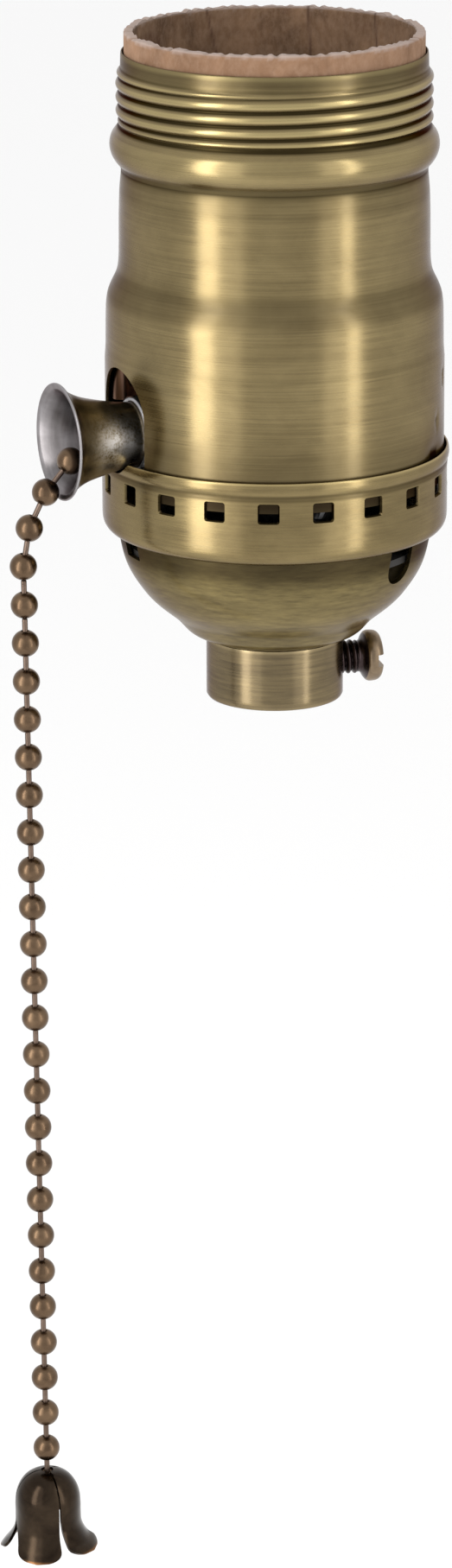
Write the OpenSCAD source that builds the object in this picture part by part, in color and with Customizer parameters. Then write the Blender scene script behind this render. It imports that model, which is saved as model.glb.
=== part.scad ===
// Pull-chain lamp socket, millimetres, +Z towards the lamp.
// Origin: centre of the threaded hub's mouth. The bell mouth points along -X.

/* [Shell] */
// Outer radius of the shell's lower body
body_r = 19.85; // [19.8:0.01:19.87]
// Outer radius of the neck above the step
neck_r = 17.8; // [17.78:0.01:17.95]
// Height of the shell's lower edge
shell_bottom_z = 27; // [26.8:0.1:27.4]
// Height of the shell's rim
shell_top_z = 77; // [76:0.1:78]
// Sheet thickness of the shell
shell_wall = 0.4; // [0.35:0.01:0.42]
// Crest radius of the shade-ring thread
thread_crest_r = 18.35; // [18.2:0.05:18.5]
// Root radius of the shade-ring thread
thread_root_r = 17.95; // [17.9:0.01:18.0]
// Pitch of the shade-ring thread
thread_pitch = 1.55; // [1.5:0.01:1.6]
// Number of thread crests
thread_turns = 4; // [3:1:4]
// Half width of the slot that clears the bell mouth
slot_r = 5.8; // [5.5:0.1:6]
// Top of that slot
slot_top_z = 41.4; // [41:0.1:42]

/* [Liner] */
// Outer radius of the paper liner
liner_r = 17.39; // [17.3:0.01:17.4]
// Thickness of the paper
liner_wall = 1.1; // [1:0.01:1.15]
// Top edge of the liner
liner_top_z = 79.5; // [79:0.1:81]
// Lower edge of the liner
liner_bottom_z = 44.5; // [44.3:0.1:46]

/* [Cap] */
// Outer radius of the vented band
band_r = 20.27; // [20.25:0.01:20.4]
// Sheet thickness of the band
band_wall = 0.35; // [0.3:0.01:0.35]
// Number of square vent holes
vent_count = 20; // [16:1:22]
// Width of a vent hole
vent_w = 2.45; // [2.2:0.05:2.6]
// Height of a vent hole
vent_h = 2.3; // [2:0.05:2.5]
// Height of the vent holes' centres
vent_z = 27.1; // [27:0.1:27.3]
// Sheet thickness of the dome
dome_wall = 0.5; // [0.4:0.05:0.6]
// Width of a slot in the dome
dome_slot_w = 4.2; // [4:0.1:4.4]

/* [Hub] */
// Outer radius of the hub
hub_r = 8.1; // [8:0.05:8.3]
// Radius of the threaded bore at the thread's crests
bore_r = 4.6; // [4.5:0.05:4.8]
// Length of the threaded bore
bore_length = 9; // [8.5:0.5:10]
// Height of the hub's shoulder, where the dome sits
hub_step_z = 7.3; // [7:0.1:7.6]
// Height of the set screw's axis
set_screw_z = 3.85; // [3.7:0.05:4]
// Direction of the set screw, measured from +X
set_screw_turn = -10; // [-20:1:20]
// Radius of the set screw's shank
set_screw_r = 2.05; // [1.9:0.05:2.1]

/* [Bell mouth] */
// Height of the bell mouth's axis
bell_z = 33.4; // [33.3:0.05:33.5]
// Distance of the bell's lip from the socket's axis
bell_lip = 27.35; // [27.2:0.05:27.4]
// Radius of the lip
bell_lip_r = 6.85; // [6.6:0.05:7]
// Radius of the tube at its root
bell_tube_r = 3.8; // [3.7:0.05:3.9]

/* [Chain] */
// Diameter of a bead
bead_d = 3.2; // [3.2:0.1:3.2]
// Distance between bead centres
bead_pitch = 4.627; // [4.62:0.001:4.63]
// Thickness of the wire links
link_d = 0.65; // [0.6:0.05:0.7]
// Number of beads on the free-hanging stretch below the two pivot beads
hang_count = 24; // [10:1:24]
// Travel of the chain for one pull
pull_travel = 5; // [5:0.5:5]

/* [Switch] */
// Radius of the moulded bodies
insulator_r = 15.9; // [15.9:0.1:15.9]
// Lower face of the switch base
base_bottom_z = 21; // [21:0.1:21.5]
// Joint between the switch base and the lamp seat
base_top_z = 44.4; // [44.4:0.1:44.4]
// Upper face of the lamp seat
seat_top_z = 49.6; // [49.6:0.1:49.6]
// Top of the lamp's screw shell
screw_shell_top_z = 73.5; // [72:0.5:74]
// Length of the pull lever's arm, from the shaft to the bead
lever_arm = 6.04; // [6.04:0.01:6.04]

/* [Hidden] */
$fn = 96;

brass = [0.55, 0.48, 0.30];
bright_brass = [0.80, 0.66, 0.36];
dark_bronze = [0.30, 0.25, 0.20];
bead_bronze = [0.50, 0.38, 0.26];
steel = [0.72, 0.72, 0.74];
copper = [0.55, 0.33, 0.22];
phenolic = [0.06, 0.055, 0.05];
kraft = [0.62, 0.46, 0.33];
fibre = [0.33, 0.31, 0.29];

bead_r = bead_d / 2;
link_gap = 0.15;          // space left between a link and the next bead on another body
pivot_gap = 0.04;         // the same where the two only turn about that bead's centre
run_gap = 0.05;           // running clearance of shafts and screws
joint_gap = 0.05;         // space between parts that are pressed or spun together
dome_hole_r = 7.1;        // hole in the dome for the hub's spigot

// Bead centres as [distance from the axis along -X, height], from inside to outside.
throat_p = [21.75, 32.93];
lip_a_p = [25.85, 31.0];
lip_b_p = [28.97, 27.6];
lip_c_p = [31.06, 23.54];
drop_p = [31.86, 19.03];
hang_dir = [-0.0133, -1];  // the chain hangs a little towards the hub
hang_unit = hang_dir / norm(hang_dir);
hang_turn = atan2(0.0133, 1);
inner_count = 5;
inner_first = 17.26;       // outermost bead of the straight inner stretch
shaft_x = -(inner_first - (inner_count - 1) * bead_pitch) - pull_travel / 2;
shaft_z = bell_z + lever_arm;
lever_turn = atan2(pull_travel / 2, lever_arm);
shaft_r = 1;
base_flat_x = 15.4;        // flat of the switch base that carries the bell mouth
bracket_x = 15.9;          // outer face of the bracket on that flat
bracket_t = 0.48;
bracket_rivet_z = [26, 41.6];
bracket_hole_r = 0.85;
ferrule_r = 4.45;
seat_r = 12.7;             // pitch radius of the body screws
body_screw_turns = [36, 216];
rivet_turns = [135, 315];
shell_rivet_r = 11.7;
contact_rivet_p = [5.66, 5.66];
terminal_z = 25.3;
terminal_y = 15.4;
strip = 0.4;               // contact metal thickness
lamp_pitch = 3.629;        // E26 lamp thread
eps = 0.01;

function hang_p(k) = drop_p + k * bead_pitch * hang_unit;
function at(p) = [-p[0], 0, p[1]];

// Body of revolution about the bell mouth's axis; the profile is [radius, distance].
module along_bell() {
    translate([0, 0, bell_z]) rotate([0, -90, 0]) rotate_extrude() children();
}

// Straight rod from a to b, shortened by cut at b.
module rod(a, b, d, cut = 0) {
    v = b - a;
    len = norm(v);
    translate(a) rotate([0, atan2(v[0], v[2]), 0]) cylinder(h = len - cut, d = d, $fn = 24);
}

module bead(p) {
    translate(at(p)) sphere(r = bead_r, $fn = 48);
}

// Wire link that starts inside bead a and ends just short of bead b.
module link_to(a, b, gap) {
    rod(at(a), at(b), link_d, bead_r + gap);
}

// Cylinder along Y from y0 to y1, centred on [x, z].
module cross_pin(x, z, y0, y1, r) {
    translate([x, y1, z]) rotate([90, 0, 0]) cylinder(h = y1 - y0, r = r);
}

function thread_profile(z0, turns, pitch, root, crest, steps = 8) =
    [for (i = [0 : turns * steps])
        [root + (crest - root) * (1 - cos(360 * i / steps)) / 2, z0 + pitch * i / steps]];

// Slot with one round end; straight is the length of its sides, negative for a round top.
function slot_outline(half, straight, steps = 12) =
    concat([[half, straight], [-half, straight]],
        [for (i = [0 : steps])
            [-half * cos(180 * i / steps), -sign(straight) * half * sin(180 * i / steps)]]);

// ---------- shell ----------

module outer_shell() {
    thread_z = 68.7;
    outside = concat(
        [[body_r, shell_bottom_z], [body_r, 41.6], [19.7, 42.4], [19.68, 46.4], [19.6, 48.1],
            [19.42, 48.9], [19.12, 49.7], [18.75, 50.5], [18.37, 51.4], [18.15, 52.6],
            [18.1, 58], [18.0, 61], [neck_r, 62.9], [17.76, 63.5], [17.85, 63.9],
            [18.35, 64.4], [18.85, 65.2], [19.1, 66.2], [18.9, 67.2], [18.3, 68.1]],
        thread_profile(thread_z, thread_turns, thread_pitch, thread_root_r, thread_crest_r),
        [[17.75, 75.3], [17.72, shell_top_z]]);
    inside = [[liner_r + 0.03, shell_top_z], [liner_r + 0.03, 52.9], [18.0, 51.0],
        [18.75, 49.3], [19.2, 47.9], [19.27, 46.4], [19.27, 42.6], [19.4, 41.9],
        [body_r - shell_wall, shell_bottom_z]];
    slot_mid = slot_top_z - slot_r;
    color(brass) difference() {
        rotate_extrude() polygon(concat(outside, inside));
        rotate([90, 0, -90]) translate([0, slot_mid, 10]) linear_extrude(20)
            polygon(slot_outline(slot_r, shell_bottom_z - 1 - slot_mid));
    }
}

module shell_liner() {
    color(kraft) rotate_extrude()
        translate([liner_r - liner_wall, liner_bottom_z])
            square([liner_wall, liner_top_z - liner_bottom_z]);
}

// ---------- cap ----------

module cap_band() {
    inner = band_r - band_wall;
    outside = [[18.6, 20.6], [19.05, 20.72], [19.45, 20.9], [19.8, 21.18], [20.06, 21.55],
        [20.2, 22.0], [band_r, 22.6], [band_r, 28.3], [20.3, 28.9], [20.42, 29.3],
        [20.5, 29.9], [20.4, 30.5], [20.2, 30.7]];
    inside = [[20.05, 30.6], [inner, 29.8], [inner, 22.7], [19.82, 22.1], [19.6, 21.65],
        [19.3, 21.3], [18.95, 21.1], [18.6, 21.0]];
    color(brass) difference() {
        rotate_extrude() polygon(concat(outside, inside));
        for (n = [0 : vent_count - 1])
            rotate(10.06 + n * 360 / vent_count)
                translate([band_r, 0, vent_z]) cube([3, vent_w, vent_h], center = true);
        translate([-25, 0, bell_z]) rotate([0, 90, 0]) cylinder(h = 10, r = 4.35);
    }
}

module cap_dome() {
    foot_z = hub_step_z + joint_gap;
    outside = [[dome_hole_r, foot_z], [hub_r, foot_z], [8.75, 7.6], [9.4, 7.85], [10.05, 8.15],
        [10.6, 8.6], [11.15, 9.2], [11.85, 9.95], [12.7, 10.65], [13.62, 11.4], [14.5, 12.2],
        [15.35, 13.05], [15.95, 13.9], [16.55, 14.75], [17.0, 15.6], [17.4, 16.4],
        [17.75, 17.3], [17.97, 18.1], [18.22, 19.3], [18.42, 20.4], [18.45, 21.3],
        [18.9, 21.7], [19.3, 22.2], [19.5, 22.9], [19.5, 25.4]];
    inside = [[19.1, 25.4], [19.1, 23.0], [18.9, 22.5], [18.5, 22.1], [18.0, 21.7],
        [17.97, 20.5], [17.75, 19.3], [17.5, 18.2], [17.2, 17.3], [16.9, 16.5], [16.5, 15.8],
        [16.05, 15.0], [15.45, 14.2], [14.9, 13.4], [14.1, 12.55], [13.2, 11.75],
        [12.3, 11.05], [11.45, 10.3], [10.75, 9.5], [10.3, 9.0], [9.8, 8.5], [9.2, 8.2],
        [8.5, 7.95], [dome_hole_r, foot_z + dome_wall]];
    color(brass) difference() {
        rotate_extrude() polygon(concat(outside, inside));
        for (turn = [300, 60])
            rotate(turn) translate([14, 0, 18.3]) rotate([90, 0, 90]) linear_extrude(7)
                polygon(slot_outline(dome_slot_w / 2, 2.35));
        translate([-21, -1.8, 18.55]) cube([7, 3.6, 2.1]);
    }
}

module cap_hub() {
    spigot_r = dome_hole_r - joint_gap;
    edge = 0.3;
    color(brass) difference() {
        rotate_extrude() polygon([[bore_r, 0], [hub_r - edge, 0], [hub_r, edge],
            [hub_r, hub_step_z], [spigot_r, hub_step_z], [spigot_r, bore_length],
            [bore_r, bore_length]]);
        rotate(set_screw_turn) translate([3, 0, set_screw_z])
            rotate([0, 90, 0]) cylinder(h = 8, r = set_screw_r + run_gap);
    }
}

module cap_liner() {
    color(fibre) translate([0, 0, 18.3]) difference() {
        cylinder(h = 0.8, r = 17.3);
        translate([0, 0, -1]) cylinder(h = 3, r = 8);
    }
}

// Slotted round head with its shank along +X, the head's inner face at x = 0.
module slotted_screw(head_r, head_h, shank, shank_len, slot_w, slot_depth) {
    rotate([0, 90, 0]) difference() {
        union() {
            rotate_extrude() polygon([[0, 0], [head_r * 0.9, 0], [head_r, head_h * 0.15],
                [head_r, head_h * 0.5], [head_r * 0.96, head_h * 0.75],
                [head_r * 0.86, head_h * 0.94], [head_r * 0.7, head_h], [0, head_h]]);
            translate([0, 0, -shank_len]) cylinder(h = shank_len + eps, r = shank);
        }
        translate([-slot_w / 2, -head_r - 1, head_h - slot_depth])
            cube([slot_w, 2 * head_r + 2, slot_depth + 1]);
    }
}

module set_screw() {
    color(brass) rotate(set_screw_turn) translate([10.9, 0, set_screw_z])
        slotted_screw(3.05, 1.95, set_screw_r, 5.95, 1.45, 0.85);
}

// ---------- bell mouth ----------

module bell_mouth() {
    outside = [[bell_tube_r, 14.6], [bell_tube_r, 18.6], [3.95, 19.8], [4.2, 21.2], [4.6, 23.0],
        [5.05, 24.6], [5.55, 25.65], [6.15, 26.5], [6.7, 27.08], [bell_lip_r, bell_lip]];
    inside = [[6.45, bell_lip], [6.2, 27.13], [5.7, 26.6], [5.1, 25.75], [4.62, 24.7],
        [4.17, 23.1], [3.78, 21.3], [3.52, 19.9], [3.38, 18.6], [3.38, 14.6]];
    color(brass) along_bell() polygon(concat(outside, inside));
}

module bell_ferrule() {
    inner = bell_tube_r + joint_gap;
    color(steel) along_bell() polygon([[inner, bracket_x + 0.02], [ferrule_r, bracket_x + 0.02],
        [ferrule_r, 17.8], [ferrule_r - 0.1, 18.1], [ferrule_r - 0.3, 18.2], [inner, 18.2]]);
}

// Rolled edge of the bracket, above the bell mouth and beside the upper rivet.
module bracket_lug() {
    lug_r = 1.2;
    lug_x = 17.2;
    lug_y = 5;
    lug_z = 36.6;
    lug_height = 5;
    difference() {
        union() {
            translate([-lug_x, lug_y, lug_z]) cylinder(h = lug_height, r = lug_r, $fn = 48);
            translate([-lug_x, lug_y - lug_r + 0.05, lug_z + 0.1])
                cube([lug_x - bracket_x + 0.2, 0.25, 1.5]);
        }
        translate([-lug_x, lug_y, lug_z - 1])
            cylinder(h = lug_height + 2, r = lug_r - bracket_t, $fn = 48);
    }
}

module bell_bracket() {
    color(copper) difference() {
        union() {
            translate([-bracket_x, 0, bell_z]) rotate([0, 90, 0]) cylinder(h = bracket_t, r = 5.6);
            translate([-bracket_x, -1.6, 24.5]) cube([bracket_t, 3.2, 19.2]);
            bracket_lug();
        }
        translate([-17, 0, bell_z]) rotate([0, 90, 0]) cylinder(h = 3, r = bell_tube_r + 0.02);
        for (z = bracket_rivet_z)
            translate([-17, 0, z]) rotate([0, 90, 0]) cylinder(h = 3, r = bracket_hole_r, $fn = 32);
    }
}

module bell_rivets() {
    shank = bracket_hole_r - joint_gap;
    color(bright_brass) for (z = bracket_rivet_z) translate([0, 0, z]) rotate([0, -90, 0])
        rotate_extrude($fn = 32) polygon([[0, 12], [shank, 12], [shank, bracket_x],
            [1.5, bracket_x], [1.3, 16.5], [0.6, 16.75], [0, 16.75]]);
}

// ---------- moulded bodies ----------

module body_screw_holes(r) {
    for (turn = body_screw_turns)
        rotate(turn) translate([seat_r, 0, 0]) cylinder(h = 48, r = r, $fn = 32);
}

module switch_base() {
    color(phenolic) difference() {
        translate([0, 0, base_bottom_z]) cylinder(h = base_top_z - base_bottom_z, r = insulator_r);
        // chamber for the lever, the ratchet and the rotor
        translate([-7.6, -8, 29.8]) cube([12.8, 16, 20]);
        translate([5, 4.2, 41.8]) cube([3, 2.9, 5]);
        // way in for the chain, and the seat of the bell mouth
        translate([-20, 0, bell_z]) rotate([0, 90, 0]) cylinder(h = 14, r = 2.6);
        translate([-20, 0, bell_z]) rotate([0, 90, 0]) cylinder(h = 5.5, r = bell_tube_r + 0.02);
        translate([-20, -8, 20]) cube([20 - base_flat_x, 16, 30]);
        for (z = bracket_rivet_z)
            translate([-16, 0, z]) rotate([0, 90, 0]) cylinder(h = 4, r = bracket_hole_r, $fn = 32);
        cross_pin(shaft_x, shaft_z, -9.6, 9.6, shaft_r);
        // flats, terminal screw holes and strip grooves
        for (side = [-1, 1]) {
            translate([-4, side > 0 ? terminal_y : -20, 20]) cube([8, 20 - terminal_y, 8.5]);
            cross_pin(0, terminal_z, side > 0 ? 9.5 : -16, side > 0 ? 16 : -9.5, 1.85);
        }
        translate([2.2, 4.4, 25.8]) cube([0.6, 12, 2.4]);
        translate([2.2, 4.4, 25.8]) cube([0.6, 2.5, 5]);
        translate([-1.6, -17, 28]) cube([3.2, 1.55, 20]);
        body_screw_holes(1.55);
    }
}

module lamp_seat() {
    color(phenolic) difference() {
        translate([0, 0, base_top_z]) cylinder(h = seat_top_z - base_top_z, r = insulator_r);
        translate([contact_rivet_p[0], contact_rivet_p[1], 40]) cylinder(h = 15, r = 0.95, $fn = 32);
        for (turn = rivet_turns)
            rotate(turn) translate([shell_rivet_r, 0, 46.5]) cylinder(h = 8, r = 0.95, $fn = 32);
        translate([-1.6, -17, 40]) cube([3.2, 1.55, 15]);
        translate([-1.6, -17, 49.15]) cube([3.2, 6.1, 2]);
        body_screw_holes(1.55);
    }
}

module body_screws() {
    color(steel) for (turn = body_screw_turns)
        rotate(turn) translate([seat_r, 0, base_bottom_z]) screw_body();
}

// Screw with its head below z = 0 and its shank upwards.
module screw_body() {
    difference() {
        union() {
            translate([0, 0, -1.5]) cylinder(h = 1.5, r = 2.4, $fn = 32);
            translate([0, 0, -eps]) cylinder(h = 26, r = 1.5, $fn = 32);
        }
        translate([-0.4, -3, -2]) cube([0.8, 6, 1.2]);
    }
}

module screw_shell() {
    steps = 6;
    turns = 5;
    z0 = 52.2;
    outside = [for (i = [0 : turns * steps])
        [13.35 - 0.45 * cos(360 * i / steps), z0 + lamp_pitch * i / steps]];
    inside = [for (i = [turns * steps : -1 : 0]) outside[i] - [0.4, 0]];
    color(bright_brass) difference() {
        rotate_extrude() polygon(concat(
            [[10.2, seat_top_z], [13.3, seat_top_z], [13.3, 51.4]], outside,
            [[13.6, 71.8], [13.9, screw_shell_top_z], [13.5, screw_shell_top_z], [13.2, 71.8]],
            inside, [[12.9, 51.4], [12.9, seat_top_z + strip], [10.2, seat_top_z + strip]]));
        for (turn = rivet_turns)
            rotate(turn) translate([shell_rivet_r, 0, 49]) cylinder(h = 3, r = 0.95, $fn = 32);
    }
}

module screw_shell_rivets() {
    color(bright_brass) for (turn = rivet_turns) rotate(turn) translate([shell_rivet_r, 0, 0])
        rotate_extrude($fn = 32) polygon([[0, 46.6], [0.9, 46.6], [0.9, 50.0], [1.15, 50.0],
            [1.0, 50.5], [0.5, 50.7], [0, 50.7]]);
}

module centre_contact() {
    reach = norm(contact_rivet_p);
    color(bright_brass) rotate(atan2(contact_rivet_p[1], contact_rivet_p[0])) difference() {
        translate([0, 1.8, seat_top_z]) rotate([90, 0, 0]) linear_extrude(3.6)
            polygon([[reach + 1.6, 0], [reach - 1.4, 0], [reach - 3.2, 1.0], [1.6, 3.4],
                [-1.8, 3.4], [-3.2, 2.6], [-3.2, 3.0], [-1.9, 3.8], [1.7, 3.8],
                [reach - 3.0, 1.4], [reach - 1.3, strip], [reach + 1.6, strip]]);
        translate([reach, 0, 49]) cylinder(h = 3, r = 0.95, $fn = 32);
    }
}

module centre_rivet() {
    color(steel) translate([contact_rivet_p[0], contact_rivet_p[1], 0])
        rotate_extrude($fn = 32) polygon([[0, 42.3], [1.1, 42.3], [1.1, 42.85], [0.9, 42.85],
            [0.9, 50.0], [1.4, 50.0], [1.2, 50.5], [0, 50.7]]);
}

// ---------- mechanism ----------

module rotor_shaft() {
    color(steel) cross_pin(shaft_x, shaft_z, -9.5, 9.5, shaft_r);
}

// Everything that turns with the lever is drawn with the arm straight down.
module on_shaft(turn) {
    translate([shaft_x, 0, shaft_z]) rotate([0, -turn, 0]) children();
}

module pull_lever() {
    plate_y = 2.1;
    plate = 0.6;
    reach = 8.4;
    color(steel) on_shaft(lever_turn) difference() {
        union() {
            cross_pin(0, 0, -plate_y - plate, plate_y + plate, 2.2);
            for (y = [-plate_y - plate, plate_y])
                translate([-2.25, y, -reach]) cube([4.2, plate, reach]);
            translate([-2.25, -plate_y - plate, -reach])
                cube([0.5, 2 * (plate_y + plate), reach - 2.5]);
        }
        cross_pin(0, 0, -4, 4, shaft_r + run_gap);
        translate([-3, -0.8, -reach - 1]) cube([2, 1.6, reach - 3.2]);
    }
}

module lever_pawl() {
    color(steel) on_shaft(lever_turn) union() {
        translate([-2.25, 2.75, -5.2]) cube([3.4, 0.3, 1.3]);
        translate([-2.25, 2.75, -5.2]) cube([0.5, 1.4, 1.9]);
    }
}

module ratchet_wheel() {
    teeth = 8;
    rim = [for (i = [0 : teeth - 1]) each [
        3.4 * [cos(i * 360 / teeth), sin(i * 360 / teeth)],
        2.7 * [cos(i * 360 / teeth + 6), sin(i * 360 / teeth + 6)]]];
    color(steel) translate([shaft_x, 4.1, shaft_z]) rotate([90, 0, 0]) difference() {
        linear_extrude(0.9) polygon(rim);
        translate([0, 0, -1]) cylinder(h = 3, r = shaft_r + run_gap);
    }
}

blade_y = 5.45;
blade_t = 0.5;

module contact_rotor() {
    color(fibre) difference() {
        cross_pin(shaft_x, shaft_z, 4.12, 7.3, 2.9);
        cross_pin(shaft_x, shaft_z, 3, 9, shaft_r + run_gap);
        translate([shaft_x, blade_y + blade_t / 2, shaft_z])
            cube([8, blade_t, 1.6], center = true);
        translate([shaft_x, blade_y + blade_t / 2, shaft_z])
            cube([1.6, blade_t, 8], center = true);
    }
}

module rotor_blade() {
    color(bright_brass) translate([shaft_x, blade_y + blade_t / 2, shaft_z]) difference() {
        union() {
            cube([6.7, blade_t - 0.02, 1.56], center = true);
            cube([1.56, blade_t - 0.02, 6.7], center = true);
        }
        cross_pin(0, 0, -1, 1, shaft_r + run_gap);
    }
}

// Torsion spring round the shaft, one ring of eight points for every 20 degrees.
module return_spring() {
    coil_r = 2.1;
    wire_r = 0.25;
    turns = 5;
    rise = 0.75;
    per_turn = 18;
    sides = 8;
    rings = turns * per_turn;
    points = [for (i = [0 : rings], s = [0 : sides - 1])
        let (a = i * 360 / per_turn, b = s * 360 / sides, r = coil_r + wire_r * cos(b))
        [r * cos(a), -7.3 + rise * a / 360 + wire_r * sin(b), r * sin(a)]];
    side_faces = [for (i = [0 : rings - 1], s = [0 : sides - 1])
        let (t = (s + 1) % sides)
        [i * sides + s, i * sides + t, (i + 1) * sides + t, (i + 1) * sides + s]];
    caps = [[for (s = [sides - 1 : -1 : 0]) s], [for (s = [0 : sides - 1]) rings * sides + s]];
    color(steel) translate([shaft_x, 0, shaft_z])
        polyhedron(points = points, faces = concat(side_faces, caps), convexity = 6);
}

module line_contact() {
    color(copper) union() {
        translate([2.3, 4.6, 26]) cube([strip, 2.1, 15.6]);
        translate([2.3, 4.6, 26]) cube([strip, terminal_y - 4.6, 2]);
    }
}

module load_contact() {
    color(copper) difference() {
        translate([shaft_x - 2, 4.6, 42.87]) cube([8.9, 2.1, strip]);
        translate([contact_rivet_p[0], contact_rivet_p[1], 42]) cylinder(h = 2, r = 0.95, $fn = 32);
    }
}

module terminal_plate() {
    difference() {
        translate([-3.5, terminal_y, 21.5]) cube([7, 0.6, 6.5]);
        cross_pin(0, terminal_z, 15, 17, 1.85);
    }
}

module line_terminal() {
    color(bright_brass) terminal_plate();
}

module neutral_terminal() {
    color(steel) union() {
        mirror([0, 1, 0]) terminal_plate();
        translate([-1.5, -15.9, 27.9]) cube([3, 0.4, 21.65]);
        translate([-1.5, -15.9, 49.18]) cube([3, 4.9, 0.4]);
    }
}

module terminal_screw() {
    translate([0, terminal_y + 0.65, terminal_z]) rotate([0, 0, 90])
        slotted_screw(2.8, 1.7, 1.78, 6, 0.9, 0.7);
}

module line_screw() {
    color(bright_brass) terminal_screw();
}

module neutral_screw() {
    color(steel) rotate(180) terminal_screw();
}

// ---------- chain ----------

module inner_chain() {
    color(bead_bronze) union() {
        for (i = [0 : inner_count - 1]) {
            p = [inner_first - i * bead_pitch, bell_z];
            bead(p);
            if (i > 0) rod(at(p), at(p + [bead_pitch, 0]), link_d);
        }
        link_to([inner_first, bell_z], throat_p, link_gap);
    }
}

// A bead on its own body, with the link to the next bead down the chain.
module bead_and_link(p, next) {
    color(bead_bronze) union() {
        bead(p);
        link_to(p, next, link_gap);
    }
}

module throat_bead() {
    bead_and_link(throat_p, lip_a_p);
}

module lip_bead_a() {
    bead_and_link(lip_a_p, lip_b_p);
}

module lip_bead_b() {
    bead_and_link(lip_b_p, lip_c_p);
}

module lip_bead_c() {
    bead_and_link(lip_c_p, drop_p);
}

module drop_bead() {
    color(bead_bronze) bead(drop_p);
}

module swing_bead() {
    color(bead_bronze) union() {
        bead(hang_p(1));
        link_to(hang_p(1), drop_p, pivot_gap);
    }
}

module hanging_chain() {
    color(bead_bronze) union() {
        for (k = [2 : hang_count + 1]) {
            bead(hang_p(k));
            if (k > 2) rod(at(hang_p(k)), at(hang_p(k - 1)), link_d);
        }
        link_to(hang_p(2), hang_p(1), pivot_gap);
    }
}

module pull_end() {
    last = hang_p(hang_count + 1);
    outside = [[0.75, 1.75], [1.7, 1.55], [2.75, 0.9], [3.5, -0.1], [3.88, -1.2], [4.0, -2.4],
        [4.0, -3.9], [4.1, -5.0], [4.35, -5.95], [4.85, -6.95], [5.5, -7.9], [6.15, -8.65]];
    inside = [[5.8, -8.8], [5.15, -8.1], [4.5, -7.15], [4.0, -6.1], [3.72, -5.05], [3.62, -3.9],
        [3.62, -2.4], [3.5, -1.3], [3.15, -0.3], [2.45, 0.55], [1.6, 1.18], [0.75, 1.4]];
    color(dark_bronze) translate(at(last)) rotate([0, -hang_turn, 0]) difference() {
        rotate_extrude() polygon(concat(outside, inside));
        for (turn = [-90, 25, 167])
            rotate(turn) translate([1.7, -0.25, -12]) cube([6, 0.5, 15]);
    }
}

outer_shell();
shell_liner();
cap_band();
cap_dome();
cap_hub();
cap_liner();
set_screw();
bell_mouth();
bell_ferrule();
bell_bracket();
bell_rivets();
switch_base();
lamp_seat();
body_screws();
screw_shell();
screw_shell_rivets();
centre_contact();
centre_rivet();
rotor_shaft();
pull_lever();
lever_pawl();
ratchet_wheel();
contact_rotor();
rotor_blade();
return_spring();
line_contact();
load_contact();
line_terminal();
neutral_terminal();
line_screw();
neutral_screw();
inner_chain();
throat_bead();
lip_bead_a();
lip_bead_b();
lip_bead_c();
drop_bead();
swing_bead();
hanging_chain();
pull_end();
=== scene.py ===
"""Pull-chain lamp socket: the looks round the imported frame.

All lengths are written in millimetres and go through MM.
"""
import math
import random

import bmesh
import bpy
import numpy as np
from mathutils import Matrix, Vector
from mathutils.kdtree import KDTree


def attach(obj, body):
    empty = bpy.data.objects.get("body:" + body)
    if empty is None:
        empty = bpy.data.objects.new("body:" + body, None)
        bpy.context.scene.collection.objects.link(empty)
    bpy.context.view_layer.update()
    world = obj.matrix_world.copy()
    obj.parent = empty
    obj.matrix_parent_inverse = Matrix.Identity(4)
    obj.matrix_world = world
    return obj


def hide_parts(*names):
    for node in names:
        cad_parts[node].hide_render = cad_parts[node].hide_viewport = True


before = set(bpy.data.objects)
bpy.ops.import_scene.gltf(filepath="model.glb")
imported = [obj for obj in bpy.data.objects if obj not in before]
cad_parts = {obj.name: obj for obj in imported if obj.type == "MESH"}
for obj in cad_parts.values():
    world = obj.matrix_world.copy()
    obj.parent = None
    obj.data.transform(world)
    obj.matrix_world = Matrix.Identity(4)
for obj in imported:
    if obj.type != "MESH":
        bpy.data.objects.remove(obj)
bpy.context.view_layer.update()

MM = 0.001
TAU = 2 * math.pi

# ---------------------------------------------------------------- sizes (mm)
BELL_Z = 33.4
BEAD_R = 1.6
BEAD_PITCH = 4.627
LINK_R = 0.33
HANG_COUNT = 24
INNER_COUNT = 5
INNER_FIRST = 17.26
SET_SCREW_Z = 3.85
SET_SCREW_TURN = -10
# Direction of the camera's side, in degrees from +X.
FRONT = -114
# Bead centres round the lip: distance from the axis along -X, height.
THROAT = (21.75, 32.93)
LIP_A = (25.85, 31.0)
LIP_B = (28.97, 27.6)
LIP_C = (31.06, 23.54)
DROP = (31.86, 19.03)
# The chain hangs this much towards the axis for each millimetre down.
LEAN = 0.0133
HANG = np.array([-LEAN, -1.0]) / math.hypot(LEAN, 1.0)


def hang(k):
    """Centre of the k-th bead below the drop bead, as (distance, height)."""
    return np.array(DROP) + k * BEAD_PITCH * HANG


def row(p):
    """A (distance, height) point as x, y and z, in mm."""
    return np.array([-p[0], 0.0, p[1]])


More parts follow.
